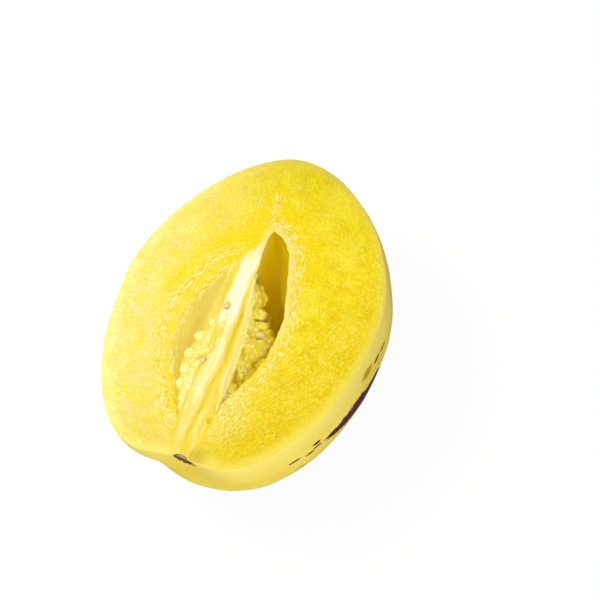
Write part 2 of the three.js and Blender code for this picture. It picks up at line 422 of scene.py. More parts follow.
placenta = {
    "barLeft": [(20.5, -1.2), (17, -3.6), (13.7, -6.0), (7, -6.2), (0, -6.5), (-7, -7.6), (-10, -6.4),
                (-14, -5.2), (-18, -5.0), (-22, -5.6), (-26, -6.5), (-30, -7.2), (-36, -7.4), (-44, -7.0),
                (-56, -6.2)],
    "barRight": [(20.5, -1.0), (14, -0.7), (7, -1.2), (0, -1.5), (-7, -1.0), (-14, -1.0)],
    "tissueRight": [(20.5, -1.0), (12.7, -0.7), (5, -0.3), (0, 1.9), (-8, 3.6), (-20, 4.2), (-34, 4.8),
                    (-56, 2.5)],
    "barHeight": 0.5,
    "barSpan": (-8.0, 19.5),
    "whiteSpan": [(20, 0.35), (17, 0.55), (14, 0.74), (9, 0.96), (0, 0.98), (-4, 0.9), (-8, 0.5), (-13, 0.0)],
    "basePale": 0.4,
    "stemNarrowing": (0.9, -40, -56),   # mm lost at each side, between these places
    "leftEdge": (-1.2, 0.9),  # mm over which tissue turns into flesh, at each side and end
    "rightEdge": (-0.45, 0.5),
    "tipEdge": (18.0, 21.5),
    "stemEdge": (-57, -54),
    # each strand: y, x, half width, paleness added and height at points along it
    "strands": [
        [(-3, -2.3, 0.9, 0, 0.1), (-6, -2.4, 1.2, 0.2, 0.2), (-10, -2.3, 1.1, 0.38, 0.3),
         (-14, -2.4, 1.3, 0.44, 0.4), (-18, -2.2, 1.5, 0.46, 0.5), (-22, -2.8, 2.0, 0.46, 0.5),
         (-26, -3.1, 2.5, 0.38, 0.45), (-30, -4.0, 2.3, 0.42, 0.45), (-34, -4.1, 2.3, 0.4, 0.4),
         (-38, -4.0, 2.1, 0.28, 0.4), (-42, -4.1, 1.8, 0.18, 0.35), (-46, -4.2, 1.6, 0.15, 0.3),
         (-50, -4.2, 1.6, 0.18, 0.25), (-54, -3.8, 1.4, 0.15, 0.2)],
        [(2.5, -0.2, 0.5, 0, 0), (-1, 0.0, 0.5, -0.12, -0.3), (-6, 0.4, 0.6, -0.25, -0.6),
         (-12, 0.3, 0.6, -0.15, -0.6), (-18, 0.7, 0.7, -0.14, -0.5), (-22, 0.6, 0.6, -0.08, -0.45),
         (-26, 0.3, 0.6, -0.14, -0.4), (-30, -0.9, 0.55, -0.16, -0.4), (-34, -1.0, 0.5, -0.14, -0.4),
         (-38, -0.9, 0.5, -0.12, -0.45), (-42, -1.8, 0.5, -0.08, -0.35), (-46, -2.0, 0.5, -0.16, -0.25),
         (-54, -2.1, 0.5, -0.08, -0.15)],
        [(-2, 1.6, 0.4, 0, 0), (-7, 1.9, 0.5, 0.06, 0.2), (-12.5, 2.0, 0.6, 0.06, 0.2),
         (-18, 2.9, 0.8, 0.12, 0.2), (-22, 3.0, 0.8, 0.3, 0.3), (-26, 2.8, 0.9, 0.34, 0.35),
         (-30, 2.9, 1.1, 0.36, 0.35), (-34, 3.7, 0.9, 0.18, 0.25), (-38.5, 4.4, 0.5, 0.0, 0.1),
         (-47, 4.6, 0.5, 0.0, 0.0)],
        [(-29, 0.6, 0.5, 0, 0), (-33, 0.5, 0.7, 0.06, 0.15), (-38, 0.8, 0.8, 0.1, 0.2),
         (-42, 0.1, 0.7, 0.3, 0.2), (-46, 0.1, 0.8, 0.22, 0.15), (-50, 0.6, 0.9, 0.14, 0.1),
         (-54, 0.4, 0.6, 0.1, 0.1)],
        [(-2, -5.0, 1.2, 0, 0), (-5, -5.0, 1.2, 0.2, 0.1), (-7, -5.4, 1.1, 0.34, 0.1),
         (-10, -5.8, 1.2, 0.24, 0.1), (-13, -5.4, 1.0, 0.1, 0.1), (-17, -4.0, 0.5, 0, 0)],
    ],
    # x, y, radius, depth, paleness lost: the lost paleness is painted shade in the hollow
    "dents": [(2.9, -42.2, 0.85, 0.55, 0.4), (4.1, -38.1, 1.0, 0.45, 0.32), (5.9, -35.6, 0.6, 0.3, 0.15)],
    "seedDents": [(-5.7, -4.1, 1.5, 1.0, 0.28), (-6.4, -23.3, 1.5, 0.7, 0.1)],
}


def placentaShare(x, y):  # 1 on the placenta tissue, 0 on the flesh
    lost, high, low = placenta["stemNarrowing"]
    narrow = lost * smoothStep(high, low, y)
    left = through(placenta["barLeft"], y) + narrow
    right = through(placenta["tissueRight"], y) - narrow
    across = smoothStep(*placenta["leftEdge"], x - left) * (1 - smoothStep(*placenta["rightEdge"], x - right))
    return across * (1 - smoothStep(*placenta["tipEdge"], y)) * smoothStep(*placenta["stemEdge"], y)


def placentaForm(x, y):  # height above the cut plane, and paleness: 0 golden, 0.4 cream, 1 near white
    left, right = through(placenta["barLeft"], y), through(placenta["barRight"], y)
    low, high = placenta["barSpan"]
    across = (x - (left + right) / 2) / np.maximum((right - left) / 2, 0.3)
    fade = smoothStep(low, low + 9, y) * (1 - smoothStep(high - 6, high, y))
    relief = placenta["barHeight"] * fade * np.clip(1 - across ** 2, 0, 1)
    white = smoothStep(-1.9, 0.1, x - left) * (1 - smoothStep(-0.7, 0.6, x - right))
    pale = placenta["basePale"] + (1 - placenta["basePale"]) * white * through(placenta["whiteSpan"], y)
    for strand in placenta["strands"]:
        knots = np.array(strand)
        centre, width, tone, height = (through(knots[:, [0, i]], y) for i in (1, 2, 3, 4))
        span = (y < knots[:, 0].max()) & (y > knots[:, 0].min() - 3)
        near = span * np.exp(-np.abs((x - centre) / width) ** 3)
        relief = relief + height * near
        pale = pale + tone * near
    # each dent sinks the surface, and its lost paleness paints shade into the hollow
    for dx, dy, radius, depth, lost in placenta["dents"] + placenta["seedDents"]:
        near = np.exp(-(((x - dx) ** 2 + ((y - dy) / 1.3) ** 2) / radius ** 2) ** 1.5)
        relief = relief - depth * near
        pale = pale - lost * near
    return relief, np.clip(pale, 0, 1)


# Unevenness of the cut face: height and size in mm, and how much it is drawn out along the fruit

cutFace = {
    "slow": (0.09, 7.0, 1.0),
    "knife": (0.035, 1.3, 0.7),
    "tissue": (0.02, 0.8, 0.2),
    "band": (0.17, 0.9, 0.7),
    "bandAt": (2.2, 2.2),     # distance from the chamber's edge and half width
    "lipHeight": 0.2,
    "lipAt": (1.0, 0.7),
    "lipFrom": -1.0,          # x, only the deep chamber's edge has a raised lip
    "rimFade": 1.6,           # mm from the rim over which it fades in
    "wallFade": 1.5,          # mm down a chamber's wall over which it fades out
}


def cutRelief(points, rimGap, wallGap, flow):  # height of the cut face above its plane
    x, y = points[:, 0], points[:, 1]
    share = placentaShare(x, y)
    flat = points * [1, 1, 0]
    uneven = {}
    for seed, name in enumerate(("slow", "knife", "tissue", "band"), 11):
        height, size, drawn = cutFace[name]
        place = flow if name == "band" else flat
        uneven[name] = height * rough(place * [1, drawn, 1], size, 3, seed)
    band, lip = (np.exp(-((wallGap - middle) / width) ** 2)
                 for middle, width in (cutFace["bandAt"], cutFace["lipAt"]))
    raised = cutFace["lipHeight"] * lip * (x > cutFace["lipFrom"]) + uneven["band"] * band
    form, _ = placentaForm(x, y)
    tissue = uneven["tissue"] * share + form * np.maximum(share, form < 0)
    whole = uneven["slow"] + uneven["knife"] + tissue + raised * (1 - share)
    return smoothStep(0, cutFace["rimFade"], rimGap) * whole


faceMesh = {
    "coarseStep": 0.62,
    "fineStep": 0.4,
    "fineReach": 3.2,         # fine steps this near a chamber, and on the placenta
    "rimRings": (0.18, 0.4, 0.75),
    "ringRoom": 0.35,
    "jitter": 0.12,           # as a share of the step
    "roundRim": 0.75,         # reach of the soft corner between skin and cut face
    "roundTurns": 8,
}


def hexGrid(low, high, step):
    rows = np.arange(low[1], high[1], step * math.sqrt(3) / 2)
    columns = np.arange(low[0], high[0], step)
    x, y = np.meshgrid(columns, rows)
    x = x + (np.arange(len(rows)) % 2)[:, None] * step / 2
    return np.stack([x.ravel(), y.ravel()], 1)


def facePatch(rim, loops):
    random = np.random.default_rng(4)
    flat = rim[:, :2]
    walls = np.concatenate([loop[:, :2] for loop in loops])
    found = []
    for step, fine in ((faceMesh["coarseStep"], False), (faceMesh["fineStep"], True)):
        spots = hexGrid(flat.min(0), flat.max(0), step)
        spots = spots[inside(spots, flat)]
        wallGap = distanceTo(spots, walls)
        inFine = (wallGap < faceMesh["fineReach"]) | (placentaShare(spots[:, 0], spots[:, 1]) > 0.05)
        keep = (inFine == fine) & (wallGap > 0.55 * faceMesh["fineStep"])
        spots = spots[keep]
        spots = spots[distanceTo(spots, flat) > faceMesh["rimRings"][-1] + faceMesh["ringRoom"]]
        for loop in loops:
            spots = spots[~inside(spots, loop[:, :2])]
        found.append(spots + random.uniform(-1, 1, spots.shape) * step * faceMesh["jitter"])
    ahead, behind = np.roll(flat, -1, axis=0), np.roll(flat, 1, axis=0)
    direction = ahead - behind
    inward = np.stack([direction[:, 1], -direction[:, 0]], 1)
    inward /= np.linalg.norm(inward, axis=1)[:, None]
    rings = []
    for gap in faceMesh["rimRings"]:
        ring = flat + inward * gap
        rings.append(ring[distanceTo(ring, flat) > 0.85 * gap])
    spots = np.concatenate([flat, *[loop[:, :2] for loop in loops], *rings, *found])
    edges, start = [], 0
    for loop in [flat, *loops]:
        count = len(loop)
        edges += [(start + i, start + (i + 1) % count) for i in range(count)]
        start += count
    result = delaunay_2d_cdt([Vector(p) for p in spots], edges, [], 0, 1e-7)
    flatPoints = np.array([tuple(v) for v in result[0]])
    triangles = np.array(result[2])
    middle = flatPoints[triangles].mean(1)
    keep = inside(middle, flat)
    for loop in loops:
        keep &= ~inside(middle, loop[:, :2])
    known = np.concatenate([rim, *loops])
    points = np.concatenate([flatPoints, np.zeros((len(flatPoints), 1))], 1)
    for i, sources in enumerate(result[3]):  # outline points keep their exact place, so that patches join
        if sources and min(sources) < len(known):
            points[i] = known[min(sources)]
    return points, triangles[keep]


def joinPatches(patches):  # points, faces and material slot of each patch, welded where their edges meet
    every = np.concatenate([points for points, _, _ in patches])
    _, first, same = np.unique(np.round(every, 4), axis=0, return_index=True, return_inverse=True)
    same = same.ravel()
    faces, slots, start = [], [], 0
    for points, corners, slot in patches:
        for face in same[corners + start]:
            kept = list(dict.fromkeys(face.tolist()))
            if len(kept) > 2:
                faces.append(kept)
                slots.append(slot)
        start += len(points)
    return every[first], first, faces, slots


# Fibrous band round the chambers, and along the seam that runs on towards the tip

fibreBand = {
    "seamGap": (1.8, 2.2),    # the seam counts as this far out in the band, its sides this many times farther
    "seamStep": 0.4,
    "lineSpan": (-60, 50),
    "lineStep": 0.1,
    "besideOnly": 3.0,        # right of this x, fibres follow one line from the stem to the tip
    "joinsAbove": 8.0,        # above this y, they do so from the line's left side on
    "shift": (500.0, 9.0),    # keeps the patterns by the dish and by the line apart from the deep chamber's
}


def bandFlow(points, loops):  # distance from the nearest chamber, and the place out from it and along it
    x, y = points[:, 0], points[:, 1]
    gap, nearest = nearestOn(points, np.concatenate(loops))
    runs = [np.cumsum(np.hypot(*(loop - np.roll(loop, 1, axis=0)).T[:2])) for loop in loops]
    along = np.concatenate([run + i * fibreBand["shift"][0] for i, run in enumerate(runs)])[nearest]
    flow = np.stack([gap, along, np.zeros_like(gap)], 1)

    seamY = np.arange(chambers["seam"][0][0], chambers["seam"][-1][0], fibreBand["seamStep"])
    seam = np.stack([through(chambers["seam"], seamY), seamY], 1)
    base, slope = fibreBand["seamGap"]
    seamGap = base + slope * distanceTo(points, seam)

    lineY = np.arange(*fibreBand["lineSpan"], fibreBand["lineStep"])
    lineX = through(chambers["deepRight"][1:] + chambers["seam"], lineY)
    steep = np.hypot(1, np.gradient(lineX, lineY))
    edge, slant, run = (np.interp(y, lineY, values)
                        for values in (lineX, steep, np.cumsum(steep) * fibreBand["lineStep"]))
    beside = np.stack([(x - edge) / slant, run, np.full(len(points), fibreBand["shift"][1])], 1)
    limit = np.where(y > fibreBand["joinsAbove"], edge - fibreBand["besideOnly"], fibreBand["besideOnly"])
    onLine = (seamGap < gap) | (x > limit)
    return np.minimum(gap, seamGap), np.where(onLine[:, None], beside, flow)


def straightened(points):  # places as if the fruit were a cylinder, for fibres that run with its sides
    x, y, z = points.T
    radius = np.maximum(radiusAt(np.clip(y, *melon["fibreSpan"])), melon["fibreRadius"])
    return np.stack([(x - bendAt(y)) * melon["widestRadius"] / radius, y, z], 1)


def roundRim(mesh, points, rim):  # softens the corner between skin and cut face
    ends = np.zeros(len(mesh.edges) * 2, np.int64)
    mesh.edges.foreach_get("vertices", ends)
    ends = ends.reshape(-1, 2)
    close = np.abs(points[:, 2]) < 2 * faceMesh["roundRim"]
    gap = np.full(len(points), 9.0)
    gap[close] = np.hypot(distanceTo(points[close], rim), points[close, 2])
    near = 1 - smoothStep(0.2, faceMesh["roundRim"], gap)
    degree = np.bincount(ends.ravel(), minlength=len(points)).astype(float)
    for _ in range(faceMesh["roundTurns"]):
        total = np.zeros_like(points)
        np.add.at(total, ends[:, 0], points[ends[:, 1]])
        np.add.at(total, ends[:, 1], points[ends[:, 0]])
        mean = total / np.maximum(degree, 1)[:, None]
        points += (near * 0.5)[:, None] * (mean - points)


def faceOutwards(mesh):
    shape = bmesh.new()
    shape.from_mesh(mesh)
    bmesh.ops.recalc_face_normals(shape, faces=shape.faces)
    openEdges = sum(not edge.is_manifold for edge in shape.edges)
    shape.to_mesh(mesh)
    shape.free()
    print("melon mesh", len(mesh.vertices), "points,", openEdges, "open edges")


def buildMelon():
    skin, skinPlace, skinQuads, rim = skinPatch()
    deep, deepQuads, deepLoop = chamberPatch(
        deepSection(), chambers["deepLow"], chambers["deepHigh"], chambers["deepSharpness"],
        chambers["deepLeft"], chambers["deepRight"], chambers["deepDepth"], 21)
    pan, panQuads, panLoop = chamberPatch(
        panSection(), chambers["panLow"], chambers["panHigh"], chambers["panSharpness"],
        chambers["panOuter"], chambers["panInner"], chambers["panDepth"], 31)
    loops = [deepLoop, panLoop]
    face, faceTriangles = facePatch(rim, loops)
    print("melon patches", len(skin), len(deep), len(pan), len(face))
    points, first, faces, slots = joinPatches(
        [(skin, skinQuads, 0), (face, faceTriangles, 1), (deep, deepQuads, 1), (pan, panQuads, 1)])
    isSkin = first < len(skin)
    place = np.zeros_like(points)
    place[isSkin] = skinPlace[first[isSkin]]

    cut = ~isSkin
    depth = -points[:, 2]
    share = np.where(cut, placentaShare(points[:, 0], points[:, 1]), 0)
    _, pale = placentaForm(points[:, 0], points[:, 1])
    rimGap, wallGap, hollow = np.zeros((3, len(points)))
    flow = np.zeros_like(points)
    rimGap[cut] = distanceTo(points[cut], rim)
    wallGap[cut], flow[cut] = bandFlow(points[cut], loops)
    inDish = 1 - smoothStep(*chambers["sideFade"], points[cut, 0])
    start, end = chambers["hollowDepth"]
    hollow[cut] = smoothStep(start, end + chambers["dishDepth"] * inDish, depth[cut])
    relief = cutRelief(points[cut], rimGap[cut], wallGap[cut], flow[cut])
    points[cut, 2] += relief * np.exp(-depth[cut] / cutFace["wallFade"])

    mesh = bpy.data.meshes.new("melonHalf")
    mesh.from_pydata(((points + toPart) * mm).tolist(), [], faces)
    mesh.polygons.foreach_set("material_index", np.array(slots, np.int32))
    roundRim(mesh, points, rim)
    setShape(mesh, points + toPart)
    tip = [bendAt(melon["tipLength"]), melon["tipLength"], -melon["cutAboveAxis"]]
    setAttributes(mesh, rimGap=rimGap, wallGap=wallGap, hollow=hollow, depth=depth, pale=pale,
                  placentaShare=share, deepSide=smoothStep(*chambers["sideFade"], points[:, 0]),
                  scarGap=np.where(isSkin, scarDistance(points), farAway),
                  tipGap=np.linalg.norm(points - tip, axis=1), streak=streakField(place, isSkin),
                  place=points, skinPlace=place, flow=flow, fibre=straightened(points))
    faceOutwards(mesh)
    return addObject("melonHalf", mesh)


# Skin streaks: purple bands along the fruit, each an angle round it, a stretch along it and a width

streaks = {
    "count": 13,
    "seed": 12,
    "halfWidth": (1.2, 3.0),
    "angles": (178, 318),     # degrees, 180 is the left rim, 270 underneath and 360 the right rim
    "stemBare": 26.0,         # mm, few marks nearer the stem than this
    "tipBare": 12.0,
    "firstStart": (0, 34),
    "lengths": (16, 64),
    "spaces": (3, 22),
    "wander": 2.4,
    # points of a path: angle, mm along and half width; dashes: angle, mm along, half width and half length
    "placed": [[(324, 106, 0.4), (328, 97, 1.0), (331, 87, 1.5), (335, 79, 2.2), (339.4, 73, 3.1),
                (342.4, 67, 4.0), (343.7, 61, 4.3), (344.2, 56, 3.8), (345, 52, 2.9), (346.1, 48.6, 1.9),
                (347, 46, 0.9)],
               [(318, 104, 0.5), (319, 92, 1.6), (320, 76, 2.2), (322, 60, 1.8), (325, 44, 0.6)]],
    "dashes": [(350.2, 43.4, 0.85, 1.5), (344.8, 40.6, 0.8, 1.7), (346.8, 35.4, 0.75, 2.0),
               (352.2, 79.0, 0.55, 1.7), (353.1, 74.8, 0.7, 1.8), (346.6, 43.6, 0.75, 1.5),
               (331, 38, 0.55, 2.2)],
    "blotch": (355.2, 68.8, 2.0, 3.2, 0.6),   # with a soft edge
}


def streakBands(total):
    random = np.random.default_rng(streaks["seed"])
    bands = list(streaks["placed"])
    low, high = streaks["angles"]
    longest = streaks["lengths"][1]
    radius = melon["widestRadius"]
    for i in range(streaks["count"]):
        angle = low + (high - low) * (i + 0.5 + random.uniform(-0.35, 0.35)) / streaks["count"]
        start = streaks["stemBare"] + random.uniform(*streaks["firstStart"])
        while start < total - streaks["tipBare"] - 8:
            length = random.uniform(*streaks["lengths"])
            end = min(start + length, total - streaks["tipBare"] + random.uniform(-6, 5))
            width = random.uniform(*streaks["halfWidth"]) * (0.5 + 0.5 * length / longest)
            along = np.linspace(start, end, 9)
            line = np.stack([np.full(9, 7.0 * len(bands)), along, np.zeros(9)], 1)
            wander = streaks["wander"] * rough(line, 18, 2, 40)
            turn = angle + random.uniform(-2, 2) + np.degrees(wander / radius)
            taper = width * np.sin(np.linspace(0.03, 0.97, 9) * math.pi) ** 0.8
            bands.append(list(zip(turn, along, taper)))
            start = end + random.uniform(*streaks["spaces"])
    return bands


def streakField(place, isSkin):  # millimetres inside (+) or outside (-) the nearest band
    perDegree = math.radians(melon["widestRadius"])
    angle = np.degrees(np.arctan2(place[:, 1], place[:, 0])) % 360
    across = np.where(angle < 90, angle + 360, angle) * perDegree
    along = place[:, 2]
    field = np.full(len(place), -farAway)
    for band in streakBands(along.max()):
        path = np.array(band) * [perDegree, 1, 1]
        for (ax, ay, aw), (bx, by, bw) in zip(path[:-1], path[1:]):
            share = ((across - ax) * (bx - ax) + (along - ay) * (by - ay)) / ((bx - ax) ** 2 + (by - ay) ** 2)
            share = np.clip(share, 0, 1)
            gap = np.hypot(across - ax - share * (bx - ax), along - ay - share * (by - ay))
            field = np.maximum(field, aw + share * (bw - aw) - gap)
    return np.where(isSkin, field, -farAway)


# Materials of the melon

skinLook = {
    "ground": [(0.34, "#e8c938"), (0.5, "#f1d74c"), (0.68, "#f7e468")],
    "grain": "#f8ea80",
    "halo": "#f0d44c",        # deeper round the stem end
    "rim": "#f9e474",         # painted light: paler next to the cut, the top of the fruit as it lies
    "blotch": "#c09a14",
    "purple": [(0.38, "#5c1a22"), (0.62, "#461d40")],
    "cork": [(0.05, "#c8a49c"), (0.35, "#e8ccc0"), (0.6, "#dcbca8"), (0.82, "#987048"), (0.97, "#54381a")],
    "tip": "#8a6c3a",
    "grainSize": 0.55,        # mm
    "dashSoftness": 0.22,
    "roughness": (0.5, 0.85),   # of the wax and of the cork
    "numbers": ["streak", "scarGap", "tipGap"],
    "places": ["skinPlace", "place"],
    # each pattern: the place it follows, its size in mm along that place's three ways, detail, roughness
    "patterns": {
        "mottle": ("place", (16, 29.1, 16), 4, 0.55),
        "ragged": ("skinPlace", (0.9, 0.9, 3.8), 3.5, 0.62),
        "broken": ("skinPlace", (7, 7, 7), 2, 0.5),
        "purple": ("skinPlace", (9, 9, 9), 3, 0.5),
        "corkGrain": ("place", (0.9, 0.9, 0.9), 4, 0.65),
        "fine": ("skinPlace", (0.45, 0.45, 0.45), 2, 0.5),   # pores, as coarse as they need to be to show
    },
    # each mask: what it follows, the two levels it runs between, and its value at each (0 and 1 if not given)
    "softMasks": {"halo": ("scarGap", 4.5, 26, 0.8, 0)},
    "masks": {
        "raggedShift": ("ragged", 0.25, 0.75, -1.7, 1.5),   # mm that a streak's edge moves
        "brokenShift": ("broken", 0.3, 0.7, -1.1, 0.8),
        "hairlineLimit": ("streak", -7, -0.5, 0.79, 0.655),
        "bare": ("scarGap", 9, 17),
        "scarShift": ("corkGrain", 0.3, 0.7, -0.3, 0.3),
        "tip": ("tipGap", 1.15, 0.8),
    },
}


def waxySkin():  # ripe pepino skin, grown and wiped clean: satin wax over pale gold with purple streaks
    material, tree = newMaterial("waxyPepinoSkin")
    fields = readSurface(tree, skinLook)
    onSkin = fields["skinPlace"]
    ground = addNode(tree, "ValToRGB", (fields["mottle"],), skinLook["ground"])
    cells = addNode(tree, "TexVoronoi", {"Vector": onSkin, "Scale": 1 / skinLook["grainSize"]})
    grain = addNode(tree, "MapRange", (cells, 0, 0.7, 0, 0.22))
    height = addNode(tree, "SeparateXYZ", (fields["place"],)).outputs["Z"]
    # painted light: the skin pales towards the cut face, the top of the fruit as it lies, where the light
    # falls
    paintedLightNearCut = addNode(tree, "MapRange", (height, -11, -1, 0, 0.9))

    # ragged streaks: noise drawn out along the fruit moves each band's edge in and out
    edge = addNode(tree, "Math", (fields["streak"], fields["raggedShift"]), **plus)
    within = addNode(tree, "Math", (edge, fields["brokenShift"]), **plus)
    band = addNode(tree, "MapRange", (within, -0.12, 0.14))
    # flecks and hairline dashes, thickest near the bands
    drawnOut = addNode(tree, "Mapping", {"Vector": onSkin, "Location": (9, 4, 2),
                                         "Scale": (0.95, 0.95, 0.26)})
    hairlines = addNode(tree, "TexNoise", {"Vector": drawnOut, "Scale": 1.0, "Detail": 2.5, "Roughness": 0.5})
    over = addNode(tree, "Math", (hairlines, fields["hairlineLimit"]), operation="SUBTRACT")
    hairline = addNode(tree, "MapRange", (over, -0.004, 0.012, 0, 0.9))
    marked = addNode(tree, "Math", (band, hairline), **greatest)
    marks = addNode(tree, "Math", (marked, fields["bare"]), **times)

    def oval(angle, along, halfWidth, halfLength, softness=skinLook["dashSoftness"]):  # 1 inside a small mark
        turn = math.radians(angle)
        centre = np.array([math.cos(turn), math.sin(turn), 0]) * melon["widestRadius"] + [0, 0, along]
        half = np.array([halfWidth, halfWidth, halfLength])
        local = addNode(tree, "Mapping", {"Vector": onSkin, "Location": -centre / half, "Scale": 1 / half})
        reach = addNode(tree, "VectorMath", (local,), operation="LENGTH")
        uneven = addNode(tree, "Math", (fields["ragged"], -1.4, reach), **timesPlus)
        return addNode(tree, "MapRange", (uneven, 0.5, 0.5 - softness))

    for dash in streaks["dashes"]:
        marks = addNode(tree, "Math", (marks, oval(*dash)), **greatest)
    purple = addNode(tree, "ValToRGB", (fields["purple"],), skinLook["purple"])

    # corky stem scar
    scarPlace = addNode(tree, "Math", (fields["scarGap"], fields["scarShift"]), **plus)
    scar = addNode(tree, "MapRange", (scarPlace, melon["scarRadius"] + 0.2, melon["scarRadius"] - 0.1))
    ringed = addNode(tree, "MapRange", (scarPlace, 0, melon["scarRadius"] + 0.1))
    cork = addNode(tree, "ValToRGB", (ringed,), skinLook["cork"])
    cork = addNode(tree, "Mix", {0: 0.35, 6: cork, 7: fields["corkGrain"]}, blend_type="MULTIPLY", **inColour)

    base = ground
    layers = [(grain, skinLook["grain"]), (fields["halo"], skinLook["halo"]), (paintedLightNearCut, skinLook["rim"]),
              (oval(*streaks["blotch"]), skinLook["blotch"]), (marks, purple), (scar, cork),
              (fields["tip"], skinLook["tip"])]
    for amount, tone in layers:  # each tone lies over the ones before it
        base = addNode(tree, "Mix", {0: amount, 6: base, 7: tone}, **inColour)

    wax = addNode(tree, "MapRange", (scar, 0, 1, *skinLook["roughness"]))
    bump = addNode(tree, "Bump", {"Strength": 0.12, "Distance": 0.00008, "Height": fields["fine"]})
    corkHeight = addNode(tree, "Math", (fields["corkGrain"], scar), **times)
    bump = addNode(tree, "Bump", {"Strength": 0.8, "Distance": 0.0006, "Height": corkHeight, "Normal": bump})
    shader = addNode(tree, "BsdfPrincipled", {
        "IOR": 1.45, "Specular IOR Level": 0.0, "Coat Weight": 0.1, "Coat Roughness": 0.3, "Coat IOR": 1.3,
        "Subsurface Weight": 0.1, "Subsurface Radius": (1.0, 0.8, 0.3), "Subsurface Scale": 0.0015,
        "Base Color": base, "Roughness": wax, "Normal": bump})
    addNode(tree, "OutputMaterial", (shader,))
    return material


